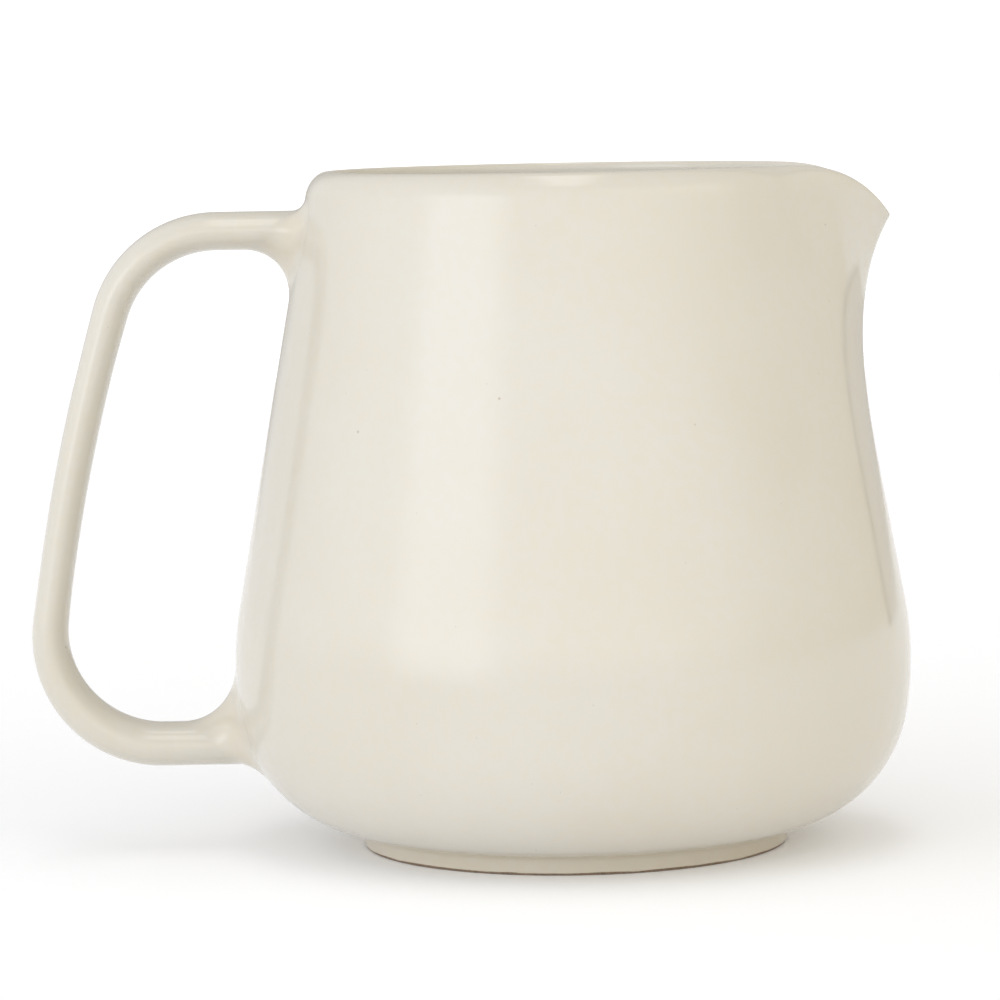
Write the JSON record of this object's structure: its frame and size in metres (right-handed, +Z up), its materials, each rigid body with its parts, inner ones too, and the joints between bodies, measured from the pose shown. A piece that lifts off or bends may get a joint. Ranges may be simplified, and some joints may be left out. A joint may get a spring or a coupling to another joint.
{
  "type": "ceramic pitcher",
  "caption": "Glazed ceramic pitcher with a leaning wall, rounded belly, foot ring, pouring lip and a tall bowed side handle.",
  "frame": {"origin": "centre of the foot ring's standing face, on the vessel's axis", "axes": "+Z up along the vessel's axis, +X towards the pouring lip, the handle along -X"},
  "size_m": [0.1952, 0.15, 0.15],
  "materials": {
    "glaze": "glossy cream glaze",
    "foot": "glossy cream glaze, wiped off the standing face to bare clay"
  },
  "bodies": {
    "root": {"body": "glaze", "spout": "glaze", "foot_ring": "foot", "handle": "glaze", "handle_upper_joint": "glaze", "handle_lower_joint": "glaze"}
  },
  "joints": []
}
